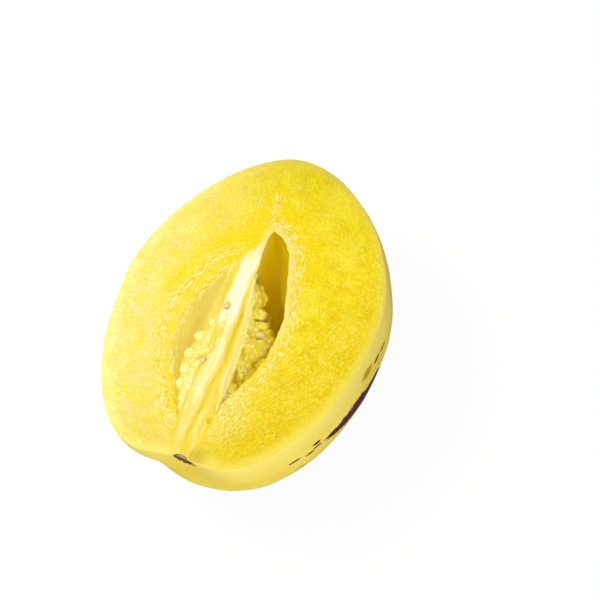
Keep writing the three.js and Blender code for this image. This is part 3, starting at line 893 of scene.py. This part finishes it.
fleshLook = {
    "clouds": [(0.34, "#ebca00"), (0.5, "#f1d600"), (0.64, "#f9e10c")],
    "patch": "#f9e32a",
    "lowTint": "#e4be00",     # deeper low on the right
    "granule": "#fcec68",     # juice cells opened by the knife
    "ring": "#edd858",        # smooth flesh next to the skin, clearest at the left and by the stem
    "edge": "#ead552",
    "leftTint": "#ffee9c",    # creamier towards the left side
    "gold": "#f9dc0a",        # golden by the chambers, and wider above the dish
    "lowPale": "#fbee96",     # pale strokes under the deep chamber's low end
    "cell": "#fae754",
    "cellLeft": "#fffabc",
    "bandDeep": "#eccb00",    # streaks of the fibrous band
    # pale streaks of the fibrous band: its pale fibres, and painted wet glints
    "bandStreakAndGlint": "#fff4b2",
    # painted glints: pale specks that stand in for wet highlights
    "paintedGlint": "#fdee84",
    "lip": "#f8e684",         # right edge of the deep chamber: pale tissue with a painted wet sheen
    "smudge": "#c8a01c",      # brown where the strands meet the stem
    # painted light and shade: the dish darker by the placenta, paler towards its outer edge
    "panPaintedLightAndShade": [(0.0, "#dcc43c"), (0.3, "#e6d268"), (0.52, "#ead45c"), (0.7, "#f6e268"), (1.0, "#ffea6e")],
    "deepTones": [(0.0, "#f2d640"), (0.12, "#f2d200"), (1.0, "#eecf00")],
    # painted shade on the deep chamber's far wall
    "shadedWall": "#cfae00",
    "placentaTones": [(0.0, "#dcc20c"), (0.24, "#e6cc34"), (0.42, "#ead24e"), (0.62, "#eddb82"),
                      (0.82, "#f5e9a4"), (1.0, "#fcf9d0")],
    "cellSize": 1.05,         # mm, real cells are finer: this is as coarse as they need to be to show
    "paintedGlintSize": 1.2,
    "drawnOut": (1, 0.8, 1),  # cells are a little longer along the fruit
    "numbers": ["rimGap", "wallGap", "hollow", "placentaShare", "depth", "pale", "deepSide"],
    "places": ["place", "fibre", "flow"],
    "patterns": {             # as for the skin
        "clouds": ("fibre", (6, 6, 6), 5, 0.62),
        "patches": ("place", (12, 12, 12), 3, 0.5),
        "wobble": ("place", (4, 4, 4), 3, 0.5),
        "granules": ("fibre", (1, 1.25, 1), 3, 0.7),
        "streaks": ("flow", (0.75, 2, 1), 4, 0.65),
        "strands": ("place", (0.7, 7, 1), 2, 0.5),
        "fine": ("fibre", (0.4, 0.5, 0.4), 3, 0.6),
    },
    "measures": {             # how far along a direction, or from a spot, in mm
        "stemward": ("DOT_PRODUCT", (-0.8, -0.6, 0)),
        "sideways": ("DOT_PRODUCT", (1, 0.15, 0)),
        "dishTop": ("DOT_PRODUCT", (-0.35, 1, 0)),
        "lowRight": ("DOT_PRODUCT", (1, -0.6, 0)),
        "tipward": ("DOT_PRODUCT", (0, 1, 0)),
        "dishOut": ("DOT_PRODUCT", (-1, -0.5, 0)),
        "wallOut": ("DOT_PRODUCT", (1, 0.45, 0)),
        "fromStem": ("DISTANCE", (3.4, -55, 0)),
        "fromLowEnd": ("DISTANCE", (7.5, -40, 0)),
        "fromTop": ("DISTANCE", (-4.5, 20, 0)),
    },
    "softMasks": {
        "patch": ("patches", 0.44, 0.66, 0, 0.7),
        "edge": ("rimGap", 3.2, 0.3, 0, 0.8),
        "goldClose": ("wallGap", 5.5, 1.5, 0, 0.55),
        "goldAround": ("wallGap", 13, 7, 0, 0.85),
        "goldTop": ("dishTop", 0, 11),
        "smudge": ("fromStem", 4.8, 0.6, 0, 0.6),
        "lowEnd": ("fromLowEnd", 12, 3, 0, 0.95),
        "lowTint": ("lowRight", 20, 42, 0, 0.45),
        "bandIn": ("wallGap", 0.2, 1.8),
        "bandOut": ("wallGap", 7, 2.4),
        "bandTop": ("fromTop", 4, 8.5),
        "lipGap": ("wallGap", 3.4, 1.2, 0, 0.9),
        "onTop": ("depth", 3.4, 0.8),
        "shaded": ("wallOut", 8, 12, 0, 0.9),
    },
    "masks": {
        "ringShare": ("stemward", -38, 0, 0.08, 0.8),
        "patchy": ("patches", 0.36, 0.62, 0.45, 1),
        "granule": ("granules", 0.48, 0.74),
        "paintedGlintLimit": ("wallGap", 18, 2, 0.86, 0.6),
        "leftness": ("sideways", 3, -46, 0, 0.95),
        "uneven": ("granules", 0.36, 0.66, 0.6, 1.3),
        "cloudy": ("clouds", 0.4, 0.62, 1.1, 0.35),
        "strokes": ("granules", 0.44, 0.62),
        "deepStreak": ("streaks", 0.5, 0.36, 0, 0.75),
        "paleStreak": ("streaks", 0.505, 0.6),
        "lipStreak": ("streaks", 0.38, 0.54, 0.35, 1),
        "lipTop": ("tipward", -18, -8, 0.2, 1),
        "paintedLightOutward": ("dishOut", 6, 30),
        "down": ("depth", 0, 8),
        "strandTone": ("strands", 0.3, 0.7, -0.17, 0.15),
        "dullness": ("hollow", 0, 1, 0.3, 0.6),
    },
    "products": {             # masks worn down by others
        "ripe": ("patchy", "closed"),
        "granule": ("granule", "ripe"),
        "cell": ("cellDot", "cellChosen", "ripe"),
        "paintedGlint": ("paintedGlintDot", "paintedGlintChosen", "closed"),
        "leftTint": ("leftness", "uneven", "cloudy"),
        "goldTop": ("goldTop", "goldAround"),
        "lowPale": ("lowEnd", "strokes"),
        "band": ("bandIn", "bandOut", "bandTop"),
        "bandDeep": ("band", "deepStreak"),
        "bandStreakAndGlint": ("band", "paleStreak"),
        "lip": ("lipGap", "deepSide", "lipStreak", "lipTop"),
        "tissue": ("placentaShare", "onTop"),
    },
    # the order of the layers, each over the ones before it
    "layers": ["patch", "lowTint", "granule", "ring", "edge", "leftTint", "gold", "lowPale", "cell",
               "bandDeep", "bandStreakAndGlint", "paintedGlint", "lip", "hollow", "tissue", "smudge"],
}


def cutFlesh():  # juicy pepino flesh, sliced with a knife: wet open cells that glint, soft light inside
    material, tree = newMaterial("slicedPepinoFlesh")
    fields = readSurface(tree, fleshLook)
    ringPlace = addNode(tree, "Math", (fields["wobble"], 4.0, fields["rimGap"]), **timesPlus)
    ring = addNode(tree, "MapRange", (ringPlace, 6.6, 3.2), **soft)
    fields["ring"] = addNode(tree, "Math", (ring, fields["ringShare"]), **times)
    fields["closed"] = addNode(tree, "MapRange", (fields["ring"], 0, 0.8, 1, 0.3))

    # open juice cells: pale dots, brightest in the paler patches, and rarer pale specks that are painted
    # glints of wet highlights
    drawn = addNode(tree, "Mapping", {"Vector": fields["fibre"], "Scale": fleshLook["drawnOut"]})
    cells, paintedGlints = (addNode(tree, "TexVoronoi", {"Vector": drawn, "Scale": 1 / fleshLook[size]})
                     for size in ("cellSize", "paintedGlintSize"))
    cellChance, paintedGlintChance = (addNode(tree, "SeparateColor", (dots.outputs["Color"],))
                               for dots in (cells, paintedGlints))
    fields["cellDot"] = addNode(tree, "MapRange", (cells, 0.5, 0.15))
    fields["cellChosen"] = addNode(tree, "MapRange", (cellChance, 0.25, 0.95))
    fields["paintedGlintDot"] = addNode(tree, "MapRange", (paintedGlints, 0.46, 0.08, 0, 0.8))
    fields["paintedGlintChosen"] = addNode(tree, "Math", (paintedGlintChance, fields["paintedGlintLimit"]),
                                    operation="GREATER_THAN")
    for name, (first, *others) in fleshLook["products"].items():
        product = fields[first]
        for other in others:
            product = addNode(tree, "Math", (product, fields[other]), **times)
        fields[name] = product
    fields["gold"] = addNode(tree, "Math", (fields["goldClose"], fields["goldTop"]), **greatest)

    # painted light and shade: the dish is paler away from the placenta and darker next to it, and the deep
    # chamber's far wall gets painted shade
    dish = addNode(tree, "ValToRGB", (fields["paintedLightOutward"],), fleshLook["panPaintedLightAndShade"])
    trough = addNode(tree, "ValToRGB", (fields["down"],), fleshLook["deepTones"])
    wall = addNode(tree, "Mix", {0: fields["deepSide"], 6: dish, 7: trough}, **inColour)
    wall = addNode(tree, "Mix", {0: fields["shaded"], 6: wall, 7: fleshLook["shadedWall"]}, **inColour)
    toneLevel = addNode(tree, "Math", (fields["pale"], fields["strandTone"]), **plus)
    tissue = addNode(tree, "ValToRGB", (toneLevel,), fleshLook["placentaTones"])
    cellTone = addNode(tree, "Mix", {0: fields["leftness"], 6: fleshLook["cell"], 7: fleshLook["cellLeft"]},
                       **inColour)

    base = addNode(tree, "ValToRGB", (fields["clouds"],), fleshLook["clouds"])
    made = {"cell": cellTone, "hollow": wall, "tissue": tissue}
    for name in fleshLook["layers"]:
        tone = made.get(name, fleshLook.get(name))
        base = addNode(tree, "Mix", {0: fields[name], 6: base, 7: tone}, **inColour)

    pitted = addNode(tree, "Math", (fields["granules"], 1.8, fields["fine"]), **timesPlus)
    banded = addNode(tree, "Math", (fields["streaks"], fields["band"], pitted), **timesPlus)
    firm = addNode(tree, "Math", (fields["placentaShare"], 0.8), **times)
    smooth = addNode(tree, "Math", (fields["ring"], fields["hollow"]), **greatest)
    smooth = addNode(tree, "Math", (smooth, firm), **greatest)
    coarse = addNode(tree, "MapRange", (smooth, 0, 1, 1, 0.15))
    height = addNode(tree, "Math", (banded, coarse), **times)
    bump = addNode(tree, "Bump", {"Strength": 0.8, "Distance": 0.0005, "Height": height})
    wet = addNode(tree, "MapRange", (fields["band"], 0, 1, 0.03, 0.3))
    shader = addNode(tree, "BsdfPrincipled", {
        "IOR": 1.33, "Specular IOR Level": 0.05, "Coat Roughness": 0.1, "Coat IOR": 1.33,
        "Subsurface Weight": 0.15, "Subsurface Radius": (1.0, 0.8, 0.25), "Subsurface Scale": 0.0012,
        "Base Color": base, "Roughness": fields["dullness"], "Coat Weight": wet, "Normal": bump})
    addNode(tree, "OutputMaterial", (shader,))
    return material


melonPiece = buildMelon()
melonPiece.data.materials.append(waxySkin())
melonPiece.data.materials.append(cutFlesh())
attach(melonPiece, "root")
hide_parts("melon_half")
print("melon finished")


# Pulp: seeds in their jelly grow from the placenta in soft lumps that have melted together

pulp = {
    "grain": 0.3,             # mm, size of the smallest lump that survives the melting
    "smoothTurns": 5,
    "fillStep": {"left": 1.6, "right": 1.5},
    "lumpSize": {"left": (1.15, 2.0), "right": (1.05, 1.8)},
    "tall": (1.7, 2.8),
    "wrinkle": 0.07,
    "leftOuter": [(-5.8, -6.9), (-7.0, -8.6), (-8.2, -9.6), (-11.2, -9.6), (-13.8, -11.2), (-17.2, -11.8),
                  (-20.2, -12.8), (-23.0, -13.7), (-27.0, -12.8), (-30.4, -12.7), (-34.2, -11.8),
                  (-39.5, -9.0)],
    "leftInner": [(-5.8, -5.2), (-10, -4.5), (-14, -4.1), (-18, -4.0), (-22, -5.0), (-26, -5.9), (-30, -6.9),
                  (-34, -7.3), (-39.5, -7.8)],
    "leftTops": (0.22, -1.1),
    "rightOuter": [(7.4, 0.0), (5.6, 0.9), (3.8, 3.2), (1.6, 4.7), (-1.2, 5.3), (-3.2, 5.3), (-4.6, 7.2),
                   (-7.0, 8.4), (-9.2, 9.9), (-11.6, 11.6), (-14.6, 12.6), (-19.4, 12.2), (-24.0, 10.4),
                   (-30.0, 7.9), (-36.6, 4.6)],
    "rightInner": [(7.4, -1.0), (0, 0.2), (-8, 1.0), (-20, 1.9), (-36.6, 2.9)],
    "rightTops": (-0.1, -1.75),
    "leftPits": [(-6.6, -23.2, 1.5)],  # x, y, radius
    "rightPits": [(6.9, -28.0, 1.5), (9.4, -21.2, 1.3), (4.9, -18.0, 0.8), (5.0, -25.2, 0.8),
                  (8.6, -15.6, 2.6), (6.6, -12.8, 1.4), (6.4, -6.4, 1.9)],
    "pitDepth": 1.1,
    "edgeRoom": 0.9,          # the lumps stay this far inside the outline
    "topSpread": 0.42,
    "flap": {"from": -3.6, "topSpread": 0.14, "tall": (0.5, 0.7)},   # thin flap by the top of the placenta
    "endFill": {"left": (-60.0, 0.0), "right": (-29.0, 1.5)},   # the pulp rises below this y, and by how much
    "endOver": 6.0,           # within this many mm
    # each fibre: its line, thickness, stretch along the fruit and height
    "fibres": [([(6, -0.1), (2, 0.6), (-5, 1.35), (-12, 2.0), (-20, 2.65), (-30, 3.4), (-38, 3.9)],
                0.58, -38, 6.5, -0.28),
               ([(1, 1.7), (-12, 2.7), (-20, 3.4), (-30, 4.1), (-36, 4.2)], 0.42, -36, 0.5, -0.5),
               ([(-8, 3.2), (-16, 4.0), (-26, 4.4), (-33, 4.5)], 0.34, -33, -8.0, -0.5),
               ([(-2, 2.4), (-9, 3.1), (-14, 3.2)], 0.3, -15, -1.0, -0.5)],
    "threads": 26,            # fine strings of pulp by the largest seed
    "leftTones": [(0.04, "#f8e698"), (0.26, "#f1d75a"), (0.6, "#e9ca30"), (1.0, "#dfbe18")],
    "rightTones": [(0.0, "#eedc7c"), (0.18, "#e4cd4c"), (0.36, "#d6ba1c"), (1.0, "#c8aa06")],
    "surface": {"numbers": ["depth"], "places": ["place"],
                "patterns": {"curds": ("place", (1.3, 1.3, 1.3), 4, 0.6)}},
}


def melted(name, lumps, seed, roughness):  # ovals run together into one skin, then wrinkled finely
    shape = bmesh.new()
    for centre, half, turn in lumps:
        matrix = (Matrix.Translation(Vector(centre)) @ Matrix.Rotation(turn, 4, "Z")
                  @ Matrix.Diagonal((*half, 1)))
        bmesh.ops.create_icosphere(shape, subdivisions=2, radius=1, matrix=matrix)
    mesh = toMesh(shape, "lumps")
    mesh.transform(Matrix.Translation(Vector(toPart)))
    mesh.transform(Matrix.Scale(mm, 4))
    piece = addObject(name, mesh)
    join = piece.modifiers.new("join", "REMESH")
    join.mode = "VOXEL"
    join.voxel_size = pulp["grain"] * mm
    soften = piece.modifiers.new("soften", "SMOOTH")
    soften.factor = 0.5
    soften.iterations = pulp["smoothTurns"]
    made = bpy.data.meshes.new_from_object(piece.evaluated_get(bpy.context.evaluated_depsgraph_get()))
    piece.modifiers.clear()
    piece.data = made
    made.name = name
    points = getVectors(made.vertices, "co") / mm - toPart
    wrinkle = rough(points * [1, 0.7, 1], 1.1, 3, seed) * roughness
    points += getVectors(made.vertex_normals, "vector") * wrinkle[:, None]
    setShape(made, points + toPart)
    setAttributes(made, place=points, depth=-points[:, 2])
    return piece


def fillLumps(side, random):  # lumps close enough to run together, lower towards the outer edge
    inner, outer = pulp[side + "Inner"], pulp[side + "Outer"]
    innerTop, outerTop = pulp[side + "Tops"]
    endFrom, endRise = pulp["endFill"][side]
    step, pits, flap = pulp["fillStep"][side], pulp[side + "Pits"], pulp["flap"]
    lumps = []
    for y in np.arange(outer[-1][0], outer[0][0], step):
        near, far = float(through(inner, y)), float(through(outer, y))
        reach = max(abs(far - near) - pulp["edgeRoom"], 0.2)
        for share in np.linspace(0, 1, max(2, round(reach / step) + 1)):
            size = random.uniform(*pulp["lumpSize"][side])
            x = near + math.copysign(reach * share, far - near) + random.uniform(-0.25, 0.25)
            at = y + random.uniform(-0.3, 0.3)
            inPit = any(math.hypot(x - px, at - py) < radius + 0.3 * size for px, py, radius in pits)
            onFlap = side == "right" and at > flap["from"]
            spread = flap["topSpread"] if onFlap else pulp["topSpread"]
            top = innerTop + (outerTop - innerTop) * share ** 1.4 + random.uniform(-spread, spread * 0.7)
            rise = share * endRise * min(max((endFrom - at) / pulp["endOver"], 0), 1)
            top += rise - pulp["pitDepth"] * inPit
            tall = random.uniform(*(flap["tall"] if onFlap else pulp["tall"]))
            half = (size, size * random.uniform(1.0, 1.5), tall)
            lumps.append(((x, at, top - tall), half, random.uniform(-0.5, 0.5)))
    return lumps


def pulpLumps(side, seed):
    random = np.random.default_rng(seed)
    lumps = fillLumps(side, random)
    if side == "right":
        for line, thick, low, high, level in pulp["fibres"]:
            for y in np.arange(low, high, thick * 1.6):
                x = float(through(line, y)) + random.uniform(-0.08, 0.08)
                z = level + random.uniform(-0.06, 0.06)
                lumps.append(((x, y, z), (thick, thick * 2.4, thick * 1.3), 0.1))
        for _ in range(pulp["threads"]):
            x, y = random.uniform(3.6, 6.8), random.uniform(-15.6, -9.6)
            z = -0.9 - 0.12 * x + random.uniform(-0.25, 0.35)
            lumps.append(((x, y, z), (0.26, 1.15, 0.32), random.uniform(-1.1, -0.3)))
    return lumps


def wetPulp(name, tones):  # seed jelly and soft pulp, torn open: pale on top and deeper golden lower down, partly the jelly's own depth and partly painted light and shade
    material, tree = newMaterial(name)
    fields = readSurface(tree, pulp["surface"])
    # painted light and shade: the tone pales towards the tops of the lumps and deepens to gold in the hollows
    # between and below them
    shade = addNode(tree, "Math", (fields["curds"], 3.4, -1.7), **timesPlus)
    level = addNode(tree, "Math", (fields["depth"], shade), **plus)
    share = addNode(tree, "MapRange", (level, 0, 4.4))
    tone = addNode(tree, "ValToRGB", (share,), tones)
    bump = addNode(tree, "Bump", {"Strength": 0.4, "Distance": 0.0003, "Height": fields["curds"]})
    shader = addNode(tree, "BsdfPrincipled", {
        "IOR": 1.35, "Roughness": 0.3, "Specular IOR Level": 0.15, "Coat Weight": 0.25, "Coat Roughness": 0.1,
        "Subsurface Weight": 0.4, "Subsurface Radius": (1.0, 0.85, 0.3), "Subsurface Scale": 0.0014,
        "Base Color": tone, "Normal": bump})
    addNode(tree, "OutputMaterial", (shader,))
    return material


pulpNames = {"left": "wetSeedPulp", "right": "deepSeedPulp"}
for number, (side, surfaceName) in enumerate(pulpNames.items()):
    piece = melted(side + "Pulp", pulpLumps(side, 7 + number), 51 + number, pulp["wrinkle"])
    piece.data.materials.append(wetPulp(surfaceName, pulp[side + "Tones"]))
    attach(piece, "root")
    print(piece.name, len(piece.data.polygons), "faces")


# Seeds: flat rounded seeds, most still in a coat of jelly

seedLook = {
    "leftTones": [(0.1, "#dfc63a"), (0.42, "#ebd65a"), (0.88, "#f3e388")],
    "rightTones": [(0.1, "#c6aa04"), (0.38, "#d2ba18"), (0.62, "#e0cc4c"), (0.8, "#e8d45c"),
                   (0.95, "#d6bc20")],
    "grey": "#d6c684",
    "bareTones": [(0.1, "#a87b34"), (0.5, "#d4b870"), (1.0, "#dcca92")],
    "coat": {"numbers": ["top", "grey"], "places": ["place"],
             "patterns": {"streaks": ("place", (0.5, 2.4, 1.2), 3, 0.6)}},
    "bare": {"numbers": ["top"], "places": ["place"],
             "patterns": {"pits": ("place", (0.35, 0.35, 0.35), 3, 0.5)}},
}
# each seed: grow by, squareness, wrinkle, tilt about X, Y and Z in degrees, share of grey seed showing
seedShapes = {
    "bare_seed_1": ((1.0, 1.0, 1.0), 2.2, 0.04, (0, 0, 20), 0.0),
    "bare_seed_2": ((1.0, 1.0, 1.0), 2.2, 0.05, (10, 0, -30), 0.0),
    "shallow_chamber_seed_1": ((1.15, 1.05, 1.05), 2.3, 0.09, (0, 10, 15), 0.0),
    "shallow_chamber_seed_2": ((1.15, 1.05, 1.05), 2.2, 0.1, (5, 0, -20), 0.0),
    "shallow_chamber_seed_3": ((1.1, 1.0, 1.1), 2.2, 0.1, (0, 0, 30), 0.25),
    "shallow_chamber_seed_4": ((1.15, 1.1, 1.05), 2.4, 0.1, (0, 8, 0), 0.0),
    "shallow_chamber_seed_5": ((1.15, 1.1, 1.05), 2.3, 0.1, (0, 0, 10), 0.0),
    "shallow_chamber_seed_6": ((1.15, 1.05, 1.05), 2.3, 0.1, (6, 0, 0), 0.0),
    "deep_chamber_seed_1": ((1.14, 1.16, 1.25), 3.4, 0.07, (8, 0, -8), 0.0),
    "deep_chamber_seed_2": ((1.12, 1.08, 1.2), 3.2, 0.08, (5, 0, 2), 0.0),
    "deep_chamber_seed_3": ((1.08, 1.05, 1.2), 2.8, 0.08, (0, 6, 4), 0.6),
    "deep_chamber_seed_4": ((1.1, 1.05, 1.1), 2.3, 0.22, (0, 0, -8), 0.0),
    "deep_chamber_seed_5": ((1.12, 1.1, 1.12), 2.4, 0.16, (10, 0, 25), 0.0),
    "deep_chamber_seed_6": ((1.1, 1.05, 1.05), 2.5, 0.18, (0, 0, 12), 0.3),
    "deep_chamber_seed_7": ((1.1, 1.0, 1.0), 2.3, 0.2, (0, 0, 5), 0.0),
}


def seedPiece(node, material, seed):
    grow, square, wrinkle, tilt, grey = seedShapes[node]
    low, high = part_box(node)
    centre = np.array((low + high) / 2) / mm
    half = np.array((high - low) / 2) / mm * grow
    shape = bmesh.new()
    bmesh.ops.create_icosphere(shape, subdivisions=4, radius=1)
    mesh = toMesh(shape, node)
    way = getVectors(mesh.vertices, "co")
    way /= np.linalg.norm(way, axis=1)[:, None]
    reach = (np.abs(way) ** square).sum(1) ** (-1 / square)
    reach *= 1 + wrinkle * (rough(way * [1, 1.6, 1], 0.9, 3, seed) + 0.5 * rough(way, 0.35, 2, seed + 1))
    turn = np.array(Euler([math.radians(degrees) for degrees in tilt]).to_matrix())
    setShape(mesh, (way * reach[:, None] * half) @ turn.T + centre)
    setAttributes(mesh, place=way * half, top=way[:, 2], grey=grey * smoothStep(-0.2, 0.5, way[:, 2]))
    mesh.materials.append(material)
    piece = addObject(node.replace("_seed_", "Seed").replace("_chamber", "Chamber"), mesh)
    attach(piece, "root")
    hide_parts(node)
    return piece


def jellySeed(name, tones):  # seed grown in its own wet jelly: clear skin over a streaked pale kernel
    material, tree = newMaterial(name)
    fields = readSurface(tree, seedLook["coat"])
    # painted light and shade: the tone follows how high on the seed a point lies, paler on top and golden
    # underneath; the deep seeds' tones add a painted highlight round the upper rim
    lit = addNode(tree, "Math", (fields["streaks"], 1.5, fields["top"]), **timesPlus)
    share = addNode(tree, "MapRange", (lit, 0.1, 1.7))
    tone = addNode(tree, "ValToRGB", (share,), tones)
    greyed = addNode(tree, "Mix", {0: fields["grey"], 6: tone, 7: seedLook["grey"]}, **inColour)
    bump = addNode(tree, "Bump", {"Strength": 0.3, "Distance": 0.0002, "Height": fields["streaks"]})
    shader = addNode(tree, "BsdfPrincipled", {
        "IOR": 1.38, "Roughness": 0.3, "Specular IOR Level": 0.15, "Coat Weight": 0.3, "Coat Roughness": 0.1,
        "Subsurface Weight": 0.4, "Subsurface Radius": (1.0, 0.9, 0.4), "Subsurface Scale": 0.001,
        "Base Color": greyed, "Normal": bump})
    addNode(tree, "OutputMaterial", (shader,))
    return material


def bareSeed():  # dry seed coat, wiped clean of jelly: pale tan, darker towards its edge and underside as painted shade
    material, tree = newMaterial("bareSeedCoat")
    fields = readSurface(tree, seedLook["bare"])
    # painted shade: darker lower on the seed, paler on its top
    lit = addNode(tree, "Math", (fields["pits"], 0.5, fields["top"]), **timesPlus)
    share = addNode(tree, "MapRange", (lit, 0.25, 1.15))
    tone = addNode(tree, "ValToRGB", (share,), seedLook["bareTones"])
    bump = addNode(tree, "Bump", {"Strength": 0.3, "Distance": 0.0001, "Height": fields["pits"]})
    shader = addNode(tree, "BsdfPrincipled", {
        "IOR": 1.45, "Roughness": 0.35, "Specular IOR Level": 0.2, "Coat Weight": 0.1, "Coat Roughness": 0.1,
        "Base Color": tone, "Normal": bump})
    addNode(tree, "OutputMaterial", (shader,))
    return material


seedSurfaces = {
    "bare": bareSeed(),
    "shallow": jellySeed("jellyCoatedSeed", seedLook["leftTones"]),
    "deep": jellySeed("deepJellySeed", seedLook["rightTones"]),
}
for number, seedNode in enumerate(seedShapes):
    kind = seedNode.split("_")[0]
    seed = seedPiece(seedNode, seedSurfaces[kind], 60 + 2 * number)
print("seeds finished")


# Studio: pale floor, soft overhead light, camera

studio = {
    "worldLight": 0.6,
    "keyPower": 1.9,          # watts
    "keySize": 0.2,           # metres
    "keyFrom": (-0.42, 0.02, 0.9),
    "keyDistance": 0.6,
    "fillPower": 3.45,
    "fillSize": 0.5,
    "fillFrom": (0.5, -0.72, 0.2),
    "fillDistance": 0.8,
    "floorTone": "#9c9c98",
    "floorLift": 0.75,        # how much of the floor a camera sees as plain white
    "floorGlow": 1.23,
    "floorRadius": 4.0,       # metres
}
view = {
    "azimuth": 43.52,         # degrees, as the next two
    "elevation": 55.71,
    "roll": -28.10,
    "distance": 680.0,        # mm
    "aside": (15.58, -1.10),  # mm that the camera stands to the right and up
    "lens": 135.0,
    "sensor": 36.0,
}


def aimAlong(back, right):
    return Matrix((right, back.cross(right), back)).transposed().to_4x4()


def addCamera():
    azimuth, elevation, roll = (math.radians(view[key]) for key in ("azimuth", "elevation", "roll"))
    back = Vector((math.sin(azimuth) * math.cos(elevation), -math.cos(azimuth) * math.cos(elevation),
                   math.sin(elevation)))
    level = Vector((math.cos(azimuth), math.sin(azimuth), 0))
    right = math.cos(roll) * level + math.sin(roll) * back.cross(level)
    data = bpy.data.cameras.new("camera")
    data.lens, data.sensor_width = view["lens"], view["sensor"]
    data.clip_start, data.clip_end = 0.05, 20
    across, up = view["aside"]
    centre = Vector(toPart) + back * view["distance"] + right * across + back.cross(right) * up
    camera = addObject("camera", data)
    camera.matrix_world = Matrix.Translation(centre * mm) @ aimAlong(back, right)
    bpy.context.scene.camera = camera


def backgroundRay(tree):  # 1 for rays that show the background: straight, mirrored or through glass
    path = addNode(tree, "LightPath")
    seen = path.outputs["Is Camera Ray"]
    for kind in ("Is Glossy Ray", "Is Transmission Ray"):
        seen = addNode(tree, "Math", (seen, path.outputs[kind]), use_clamp=True, **plus)
    return seen


def addLights():
    for name in ("key", "fill"):
        data = bpy.data.lights.new(name + "Softbox", "AREA")
        data.shape = "DISK"
        data.size = studio[name + "Size"]
        data.energy = studio[name + "Power"]
        back = Vector(studio[name + "From"]).normalized()
        right = Vector((0, 1, 0)).cross(back).normalized()
        box = addObject(name + "Softbox", data)
        box.matrix_world = Matrix.Translation(back * studio[name + "Distance"]) @ aimAlong(back, right)

    world = bpy.data.worlds.new("studio")
    bpy.context.scene.world = world
    world.use_nodes = True
    tree = world.node_tree
    tree.nodes.clear()
    strength = addNode(tree, "MapRange", (backgroundRay(tree), 0, 1, studio["worldLight"], 1))
    sky = addNode(tree, "Background", {"Color": "#ffffff", "Strength": strength})
    addNode(tree, "OutputWorld", (sky,))


def addFloor():
    material, tree = newMaterial("mattePaintedFloor")  # pale matt paint: an even ground for the shadow
    matt = addNode(tree, "BsdfPrincipled", {"Base Color": studio["floorTone"], "Roughness": 0.9,
                                            "Specular IOR Level": 0.1})
    glow = addNode(tree, "Emission", {"Color": "#ffffff", "Strength": studio["floorGlow"]})
    lift = addNode(tree, "Math", (backgroundRay(tree), studio["floorLift"]), **times)
    both = addNode(tree, "MixShader", (lift, matt, glow))
    addNode(tree, "OutputMaterial", (both,))
    shape = bmesh.new()
    bmesh.ops.create_circle(shape, cap_ends=True, radius=studio["floorRadius"], segments=96)
    mesh = toMesh(shape, "floor")
    mesh.materials.append(material)
    addObject("floor", mesh)


addCamera()
addLights()
addFloor()
bpy.context.scene.view_settings.view_transform = "Standard"
print("studio ready")
